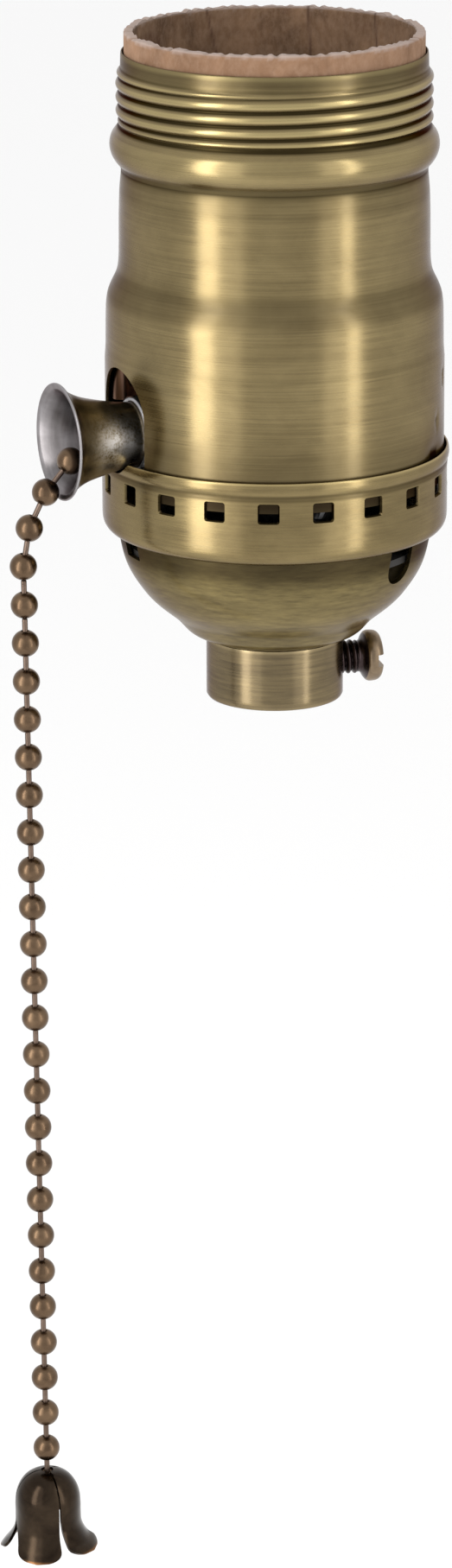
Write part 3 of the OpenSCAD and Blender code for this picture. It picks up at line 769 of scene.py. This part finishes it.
def wear_tips(piece, place):
    """Marks the petals' tips, where the finish has worn to brown."""
    back = place.inverted()
    first = PETALS[0][0]
    worn = []
    for v in piece.data.vertices:
        p = back @ v.co / MM
        angle = (math.degrees(math.atan2(p.y, p.x)) - FRONT - first) % 360 + first
        tip_z = next(tip for low, high, *_, tip in PETALS if low <= angle <= high)
        worn.append(float(smoothstep(tip_z - p.z, -0.4, 0.0)))
    store(piece.data, "worn", worn)


def make_pull_end():
    """Three-petal stamped bell that closes round the last bead."""
    place = (Matrix.Translation(Vector(row(hang(HANG_COUNT + 1))) * MM)
             @ Matrix.Rotation(-math.atan2(LEAN, 1), 4, "Y"))
    piece = join("tulip_pull", [make_petal(place, *petal) for petal in PETALS])
    tidy_normals(piece, PULL_SMOOTH)
    wear_tips(piece, place)
    return dress(piece, TULIP, "pull_end", "dark_bronze", "pull_end")


pull_end = make_pull_end()
chain, lip_beads = make_chain()


# ---------------------------------------------------------------- shell
def wave(phase):
    """Rounded crests with narrower grooves, 0 to 1."""
    return (0.5 - 0.5 * np.cos(TAU * phase)) ** 0.62


def window(x, a, b, soft):
    """1 between a and b, 0 outside them, with soft edges."""
    return smoothstep(x, a - soft, a + soft) * (1 - smoothstep(x, b - soft, b + soft))


def bump_at(x, y, place, size):
    """Smooth bump of height 1 at a place in two directions, with its half widths in size."""
    return np.exp(-((x - place[0]) / size[0]) ** 2 - ((y - place[1]) / size[1]) ** 2)


def make_shell():
    """Stepped tube with the shade-ring thread, a rounded bead, dents and the chain slot."""
    thread_low, thread_high, pitch, depth = 68.75, 75.2, 1.56, 0.42
    slot_r, slot_z, slot_low = 5.8, 35.6, 25.0

    def shape(theta, r, z):
        outside = r > 17.68
        phase = (z - thread_low) / pitch - theta / TAU
        lift = depth * wave(phase) * window(z, thread_low + 0.2, thread_high - 0.45, 0.35)
        r = np.where(outside & (z > 68.2) & (z < 76), r + lift, r)
        angle = (np.degrees(theta) - FRONT) % 360
        dimple = bump_at(angle, z, (70, 31.0), (7.0, 1.3)) * 0.34
        nick = bump_at(angle, z, (80, 39.4), (1.1, 0.75)) * 0.28
        stab = bump_at(angle, z, (71.5, 34.6), (1.3, 0.55)) * 0.26
        return np.where(z < 44, r - dimple - nick - stab, r), z

    lower = [(19.85, 27.06), (19.85, 41.2), (19.74, 42.6), (19.7, 46.0)]
    step_up = [(19.7, 46.0), (19.64, 47.6), (19.45, 48.8), (19.12, 49.7), (18.72, 50.5),
               (18.36, 51.4), (18.17, 52.6), (18.1, 55)]
    neck = [(18.1, 55), (18.08, 58), (17.98, 61), (17.82, 62.8), (17.78, 63.4)]
    bead = [(17.78, 63.4), (18.0, 63.95), (18.5, 64.55), (18.93, 65.35), (19.1, 66.3),
            (18.9, 67.3), (18.45, 68.0), (18.05, 68.5), (17.93, 68.9)]
    thread = [(17.93, 68.9), (17.93, 74.8), (17.8, 75.2)]
    top = [(17.8, 75.2), (17.76, 76.6), (17.72, 76.95), (17.6, 77.0), (17.47, 76.95)]
    inner = [(17.45, 76.6)] + spline([(17.45, 52.9), (17.75, 51.7), (18.3, 50.4), (18.85, 49.1),
                                      (19.2, 47.7), (19.28, 46.2)], 4)
    inner += [(19.28, 42.6), (19.43, 41.2), (19.45, 27.1), (19.6, 27.0), (19.75, 27.0)]
    rows = []
    for part, step in ((lower, 0.8), (spline(step_up, 5), 0.4), (spline(neck, 4), 0.5),
                       (spline(bead, 6), 0.2), (thread, 0.085), (top, 0.2), (inner, 1.6)):
        rows += divide(part, step)
    shell = revolve("shell_body", rows, 360, 2.0, shape, sigma=0.5)
    below = slot_low - slot_z
    slot = [(slot_r, below)] + arc(0, 0, slot_r, 0, 180, 24) + [(-slot_r, below)]
    carve(shell, [outward_prism("slot", slot, 180, 12, slot_z, 12)])

    # Painted shade: near black on the hidden inside of the lower shell and below the band's lip, fading
    # out above the lip, darker bands on the step and just under the bead, and darker at the rim.
    def painted_shade(r, z):
        hidden = np.where((z < 47) & (r < 19.6 - 0.1 * (z > 42)) & (r > 18.9), 1.0, 0)
        low = 0.95 * (1 - smoothstep(z, 30.3, 30.9)) + 0.35 * (1 - smoothstep(z, 30.9, 37))
        step = 0.38 * window(z, 48.3, 51.3, 0.9) + 0.22 * window(z, 60.5, 63.9, 0.8)
        return np.maximum(hidden, low + step + 0.5 * window(z, 75.6, 77.5, 0.3))

    mark(shell, "painted_shade", painted_shade)
    return dress(shell, BRASS, "shell", "antique_brass", "outer_shell")


make_shell()


def make_liner():
    """Paper tube with a rough cut rim and creases inside."""
    rng = random.Random(7)
    # Each wave round the rim: height, count round the tube, phase.
    waves = [(rng.uniform(0.03, 0.13) / (1 + k * 0.06), rng.randint(2, 110), rng.uniform(0, TAU))
             for k in range(34)]
    # Each crease: where it meets the rim, in degrees from +X, and its slant.
    creases = [(-150, 0.5), (-118, 0.8), (-73, -0.6), (20, 0.15), (52, 0.1), (95, 0.4), (150, -0.3)]
    middle_r = 16.9
    profile = fillet([(17.37, 60), (17.37, 79.3), (17.2, 79.45), (16.45, 79.42), (16.29, 79.2),
                      (16.29, 44.5), (17.37, 44.5), (17.37, 60)], 0.12)

    def shape(theta, r, z):
        rough = sum(a * np.sin(n * theta + p) for a, n, p in waves)
        high = smoothstep(z, 78.2, 79.4)
        z = np.minimum(z + high * rough * 0.6 - high * 0.12, 79.49)
        dent = sum(0.05 * a * np.sin(n * 0.5 * theta + p + z * 0.2) for a, n, p in waves)
        outer, inner = np.minimum(r + dent * high, 17.39), np.minimum(r + dent * 2, 16.34)
        return np.where(r > middle_r, outer, inner), z

    liner = revolve("paper_tube", profile, 360, 0.45, shape, sigma=0.3, smooth_angle=60)
    radius, angle, height = round_places(liner)
    inside = 1 - smoothstep(radius, 16.35, 16.6)
    crease = np.zeros(len(radius))
    for middle, slant in creases:
        off = (angle - middle + slant * (79 - height) * 2.0 + 180) % 360 - 180
        crease = np.maximum(crease, np.exp(-(off / 0.55) ** 2))
    store(liner.data, "inside", inside)
    store(liner.data, "cut_edge", smoothstep(height, 79.0, 79.3))
    store(liner.data, "crease", crease * inside)
    return dress(liner, PAPER, "shell", "liner_paper", "shell_liner")


make_liner()


# ---------------------------------------------------------------- cap
def make_band():
    """Crimped band with a flared lip, a row of pressed vents and a notch for the bell mouth."""
    vent_count, vent_first, vent_z, notch_r = 20, 10.06, 27.1, 4.35
    corner = spline([(20.27, 22.65), (20.21, 22.0), (20.06, 21.55), (19.8, 21.18), (19.45, 20.92),
                     (19.05, 20.75), (18.75, 20.68)], 5)
    under = [(18.65, 20.68), (18.6, 20.76), (18.6, 20.9)]
    back = spline([(18.65, 21.0), (19.0, 21.12), (19.35, 21.35), (19.7, 21.8), (19.88, 22.5)], 3)
    inner = [(19.92, 23)] + spline([(19.92, 29.3), (19.97, 29.9), (20.1, 30.5)], 3)
    lip = [(20.16, 30.66), (20.26, 30.7), (20.36, 30.62)]
    flare = spline([(20.42, 30.45), (20.49, 29.95), (20.44, 29.5), (20.34, 29.2)], 4)
    line = [(20.31, 29.1), (20.285, 28.95), (20.3, 28.8), (20.27, 28.6), (20.27, 28.0)]
    profile = inner + lip + flare + line + corner + under + back
    band = revolve("vent_band", profile[::-1], 400, 0.6, sigma=0.3)
    vent = rounded_box(2.45, 2.3, 0.3)
    vents = [outward_prism("vent", vent, vent_first + 360 / vent_count * n, 18.5, vent_z, 3,
                           (0.46, 1.44)) for n in range(vent_count)]
    notch = outward_prism("notch", arc(0, 0, notch_r, 0, 350, 35), 180, 18, BELL_Z, 6)
    carve(band, [join("vents", vents), notch])

    # Painted shade: dark on the band's inner face, a darker line along the crimp and darker under the
    # lower corner.
    def painted_shade(r, z):
        inside = np.where(r < 19.96, 0.9, 0.0) * (z > 22)
        return inside + 0.45 * window(z, 28.5, 29.2, 0.15) + 0.25 * (1 - smoothstep(z, 20.6, 21.4))

    mark(band, "painted_shade", painted_shade)
    return dress(band, BRASS_CAP, "socket", "antique_brass", "cap_band")


def make_dome():
    """Bowl with a flared foot, a vent slot low on the chain's side and two round-ended ones."""
    outside = spline([(18.44, 21.2), (18.41, 20.4), (18.21, 19.3), (17.96, 18.1), (17.74, 17.3),
                      (17.42, 16.4), (17.0, 15.55), (16.5, 14.72), (15.92, 13.88), (15.25, 13.0),
                      (14.48, 12.18), (13.62, 11.42), (12.7, 10.68), (11.85, 9.97), (11.15, 9.22),
                      (10.6, 8.6), (10.05, 8.17), (9.4, 7.86), (8.75, 7.62), (8.25, 7.48),
                      (8.12, 7.38)], 3)
    foot = [(8.0, 7.35), (7.1, 7.35), (7.1, 7.85)]
    inside = spline([(8.3, 7.9), (9.2, 8.2), (9.8, 8.5), (10.3, 9.0), (10.75, 9.5), (11.45, 10.3),
                     (12.3, 11.05), (13.2, 11.75), (14.1, 12.55), (14.95, 13.5), (15.6, 14.35),
                     (16.15, 15.2), (16.6, 16.0), (17.0, 16.9), (17.3, 17.7), (17.52, 18.5),
                     (17.76, 19.4), (17.97, 20.5)], 2)
    skirt = [(18.0, 21.6), (18.5, 22.1), (18.9, 22.5), (19.1, 23.0), (19.1, 25.4), (19.5, 25.4),
             (19.5, 22.9), (19.3, 22.2), (18.9, 21.7), (18.5, 21.35)]
    dome = revolve("cap_bowl", (outside + foot + inside + skirt)[::-1], 320, 0.6, sigma=0.5)
    half, bottom, top = 2.1, 18.3, 20.65
    tongue = [(half, top - bottom), (-half, top - bottom)] + arc(0, 0, half, 180, 360, 18)
    slots = ((rounded_box(3.6, 2.1, 0.15), 180, 19.6), (tongue, 300, bottom), (tongue, 60, bottom))
    carve(dome, [outward_prism("vent_slot", outline, angle, 14, height, 6)
                 for outline, angle, height in slots])
    # Painted shade: darker towards the band, strongest just under it.
    mark(dome, "painted_shade",
         lambda r, z: 0.66 * smoothstep(z, 16.2, 19.4) + 0.12 * smoothstep(z, 11.5, 16))
    return dress(dome, BRASS_DOME, "socket", "antique_brass", "cap_dome")


def screw_place(distance):
    """On the set screw's axis at distance from the hub's, with +Z pointing outwards."""
    return (Matrix.Rotation(math.radians(SET_SCREW_TURN), 4, "Z")
            @ Matrix.Translation((distance * MM, 0, SET_SCREW_Z * MM))
            @ Matrix.Rotation(math.pi / 2, 4, "Y"))


def make_hub():
    """Collar with the pipe thread inside, a spigot in the dome and a hole for the set screw."""
    bore_r, pitch, depth, hole_r = 4.75, 0.94, 0.32, 2.1
    outer = [(bore_r, 0.0), (7.7, 0.0), (7.95, 0.08), (8.1, 0.35), (8.1, 7.3), (7.05, 7.3),
             (7.05, 8.8), (6.85, 9.0), (bore_r, 9.0)]
    bore = [outer[-1], outer[0]]

    def shape(theta, r, z):
        groove = depth * wave(z / pitch - theta / TAU) * window(z, 0.5, 8.6, 0.3)
        return np.where(r < bore_r + 0.15, r + groove - 0.14, r), z

    hub = revolve("hub_collar", divide(outer, 0.6) + divide(bore, 0.1), 192, 2.0, shape, sigma=0.3)
    hole = extrude_outline("tapped", arc(0, 0, hole_r, 0, 352, 44), 8, screw_place(3))
    carve(hub, [hole])
    return dress(hub, BRASS_HUB, "socket", "antique_brass", "cap_hub")


def make_set_screw():
    """Slotted round-head screw with a cut thread; its own +Z points away from the hub."""
    pitch, slot_half, slot_floor = 0.794, 0.72, 1.1
    place = screw_place(10.9)
    shank = [(0.02, -5.95), (1.5, -5.95), (1.98, -5.5)]
    thread = [(1.98, -5.5), (1.98, -1.1)]
    neck = spline([(1.98, -1.1), (1.85, -0.75), (2.05, -0.4), (2.55, -0.12), (2.85, 0.1)], 5)
    head = spline([(2.95, 0.2), (3.04, 0.45), (3.04, 0.95), (2.95, 1.4), (2.72, 1.72), (2.4, 1.88),
                   (2.0, 1.94)], 4)
    face = [(2.0, 1.94), (0.02, 1.95)]
    rows = []
    for part, step in ((shank, 0.3), (thread, 0.06), (neck, 0.2), (head, 0.2), (face, 0.4)):
        rows += divide(part, step)
    rows.append(face[-1])

    def shape(theta, r, z):
        cut = 0.38 * (1 - wave(z / pitch - theta / TAU)) * window(z, -5.6, -1.0, 0.15)
        return np.where((r > 1.9) & (z < -0.9), r - cut + 0.05, r), z

    screw = revolve("lock_screw", rows, 96, 3.0, shape, sigma=0.18, frame_of=place, smooth_angle=40)
    outline = [(-slot_half, -4), (slot_half, -4), (slot_half, 4), (-slot_half, 4)]
    slot = extrude_outline("screw_slot", outline, 2,
                           place @ Matrix.Translation((0, 0, slot_floor * MM)))
    carve(screw, [slot], 40)
    screw.data.materials.clear()
    screw.data.materials.append(SCREW)
    screw.data.materials.append(SCREW_SHADED)
    inverse = place.inverted()
    # The part below the head takes the darker copy: painted shade.
    for poly in screw.data.polygons:
        poly.material_index = 1 if (inverse @ poly.center).z < 0 else 0
    return dress(screw, None, "set_screw", "screw_brass", "set_screw")


make_band()
make_dome()
make_hub()
make_set_screw()


# ---------------------------------------------------------------- bell mouth
BELL_FRAME = Matrix.Translation((0, 0, BELL_Z * MM)) @ Matrix.Rotation(-math.pi / 2, 4, "Y")


def make_bell():
    """Drawn trumpet with a rolled lip; profile is (radius, distance from the socket's axis)."""
    outside = spline([(3.8, 14.6), (3.8, 17.0), (3.83, 18.6), (3.96, 19.9), (4.2, 21.2),
                      (4.55, 22.8), (4.98, 24.4), (5.45, 25.5), (6.02, 26.4), (6.55, 26.93)], 5)
    lip = spline([(6.72, 27.0), (6.84, 27.12), (6.82, 27.28), (6.66, 27.35), (6.2, 27.2)], 4)
    inside = spline([(6.1, 27.12), (5.8, 26.78), (5.25, 26.0), (4.7, 24.95), (4.22, 23.4), (3.82, 21.6),
                     (3.54, 20.0), (3.4, 18.6), (3.38, 17.0), (3.38, 14.6)], 5)
    bell = revolve("bell_flare", outside + lip + inside, 192, 0.5, sigma=0.4, frame_of=BELL_FRAME)
    bell.data.materials.append(BELL_OUT)
    bell.data.materials.append(BELL_IN)
    inverse = BELL_FRAME.inverted()
    lip_start = 26.97
    for poly in bell.data.polygons:
        centre, facing = inverse @ poly.center, inverse.to_3x3() @ poly.normal
        outward = Vector((centre.x, centre.y, 0)).normalized().dot(facing)
        poly.material_index = 1 if outward < 0.25 or centre.z > lip_start * MM else 0
    bare, painted_shade = [], []
    for v in bell.data.vertices:
        out = (inverse @ v.co / MM).z
        side = math.degrees(math.atan2(v.co.z / MM - BELL_Z, -v.co.y / MM))
        bare.append(1.25 * float(bump_at(side, out, (-2, 21.2), (38, 2.6))))
        # Painted shade: darker at the root where the bell enters the shell, and a darker ring on the
        # flare near the lip.
        root = 0.6 * (1 - smoothstep(out, 16.8, 18.6))
        painted_shade.append(root + 0.45 * math.exp(-((out - 25.6) / 0.8) ** 2))
    store(bell.data, "bare", np.clip(bare, 0, 1))
    store(bell.data, "painted_shade", np.clip(painted_shade, 0, 1))
    return dress(bell, None, "socket", "antique_brass", "bell_mouth")


def make_ferrule():
    """Pale ring round the root of the bell."""
    section = [(3.86, 15.95), (4.42, 15.95), (4.44, 17.7), (4.4, 17.95), (4.25, 18.12),
               (4.05, 18.18), (3.86, 18.1)]
    ring = revolve("root_ring", section, 96, 0.4, sigma=0.3, frame_of=BELL_FRAME, smooth_angle=50)
    return dress(ring, RING_METAL, "socket", "pale_ring", "bell_ferrule")


make_bell()
make_ferrule()


# ---------------------------------------------------------------- lamp screw shell
def make_screw_shell():
    """Thin cup whose wall is rolled into the lamp thread, with two holes in its floor."""
    pitch, low, depth = 3.629, 51.6, 0.46

    def shape(theta, r, z):
        turns = (z - low) / pitch - theta / TAU
        swell = depth * np.cos(TAU * turns) * window(z, 52.3, 71.4, 0.5)
        return np.where(z > 51, r + swell, r), z

    outer = [(10.2, 49.6), (13.1, 49.6), (13.3, 49.8), (13.32, 71.8), (13.6, 72.4), (13.88, 73.4)]
    inner = [(13.8, 73.5), (13.55, 73.45), (13.22, 72.5), (12.94, 71.8), (12.92, 50.05),
             (12.85, 50.0), (10.2, 50.0)]
    profile = fillet(outer, 0.15) + fillet(inner, 0.1)
    tube = revolve("lamp_thread_shell", profile, 220, 0.3, shape, sigma=0.8)
    holes = [extrude_outline("eyelet", arc(0, 0, 0.95, 0, 345, 23), 3,
                             Matrix.Rotation(math.radians(turn), 4, "Z")
                             @ Matrix.Translation((11.7 * MM, 0, 49 * MM))) for turn in (135, 315)]
    carve(tube, holes)
    return dress(tube, BRIGHT, "socket", "bright_brass", "screw_shell")


make_screw_shell()

# ---------------------------------------------------------------- materials of the CAD pieces that stay
CAD_LOOKS = {
    "cap_liner": SHADED_FIBRE, "bell_bracket": LUG_COPPER, "bell_rivets": BRIGHT,
    "switch_base": PHENOLIC, "lamp_seat": PHENOLIC, "body_screws": STEEL,
    "screw_shell_rivets": BRIGHT, "centre_contact": BRIGHT, "centre_rivet": STEEL,
    "rotor_shaft": STEEL, "pull_lever": STEEL, "lever_pawl": STEEL, "ratchet_wheel": STEEL,
    "contact_rotor": ROTOR_MAT, "rotor_blade": BRIGHT, "return_spring": STEEL,
    "line_contact": COPPER, "load_contact": COPPER,
    # Painted shade: the terminals and their screws take the darker copies.
    "line_terminal": SHADED_BRASS, "neutral_terminal": SHADED_STEEL,
    "line_screw": SHADED_BRASS, "neutral_screw": SHADED_STEEL}
for node_name, material in CAD_LOOKS.items():
    for node_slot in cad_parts[node_name].material_slots:
        node_slot.material = material


# ---------------------------------------------------------------- studio
def area(name, azimuth, distance, low, high, width, power, colour):
    """Upright soft box that faces the object; sizes in metres, azimuth in degrees from FRONT."""
    turn = math.radians(azimuth + FRONT)
    data = bpy.data.lights.new(name, "AREA")
    data.shape = "RECTANGLE"
    data.size, data.size_y = width, high - low
    data.energy, data.color = power, colour
    lamp = bpy.data.objects.new(name, data)
    bpy.context.scene.collection.objects.link(lamp)
    spot = Vector((math.cos(turn) * distance, math.sin(turn) * distance, (low + high) / 2))
    aim = Vector((0, 0, spot.z)) - spot
    lamp.matrix_world = Matrix.Translation(spot) @ aim.to_track_quat("-Z", "Y").to_matrix().to_4x4()
    lamp.visible_camera = False
    return lamp


def studio():
    """Pale floor, plain white world and four soft boxes."""
    world = bpy.data.worlds.new("studio")
    bpy.context.scene.world = world
    world.use_nodes = True
    background = world.node_tree.nodes["Background"]
    background.inputs["Color"].default_value = (1, 1, 1, 1)
    background.inputs["Strength"].default_value = 1
    half, floor_z = 6, -0.165
    mesh = bpy.data.meshes.new("floor")
    corners = [(-half, -half), (half, -half), (half, half), (-half, half)]
    mesh.from_pydata([(x, y, floor_z) for x, y in corners], [], [(0, 1, 2, 3)])
    floor = add_mesh("floor", mesh)
    n = Nodes("floor_white")
    n.set(Base_Color=(0.93, 0.93, 0.93, 1), Roughness=0.9)
    mesh.materials.append(n.m)
    # Each soft box: name, azimuth, distance, width, power.
    for name, azimuth, distance, width, power in (
            ("left_box", -49, 0.45, 0.12, 1.15), ("left_fill", -32, 0.46, 0.16, 0.32),
            ("right_box", 54, 0.45, 0.07, 0.52), ("right_fill", 40, 0.46, 0.12, 0.20)):
        area(name, azimuth, distance, -0.15, 0.45, width, power, (1.0, 0.985, 0.96))
    bpy.context.scene.view_settings.view_transform = "Standard"


studio()
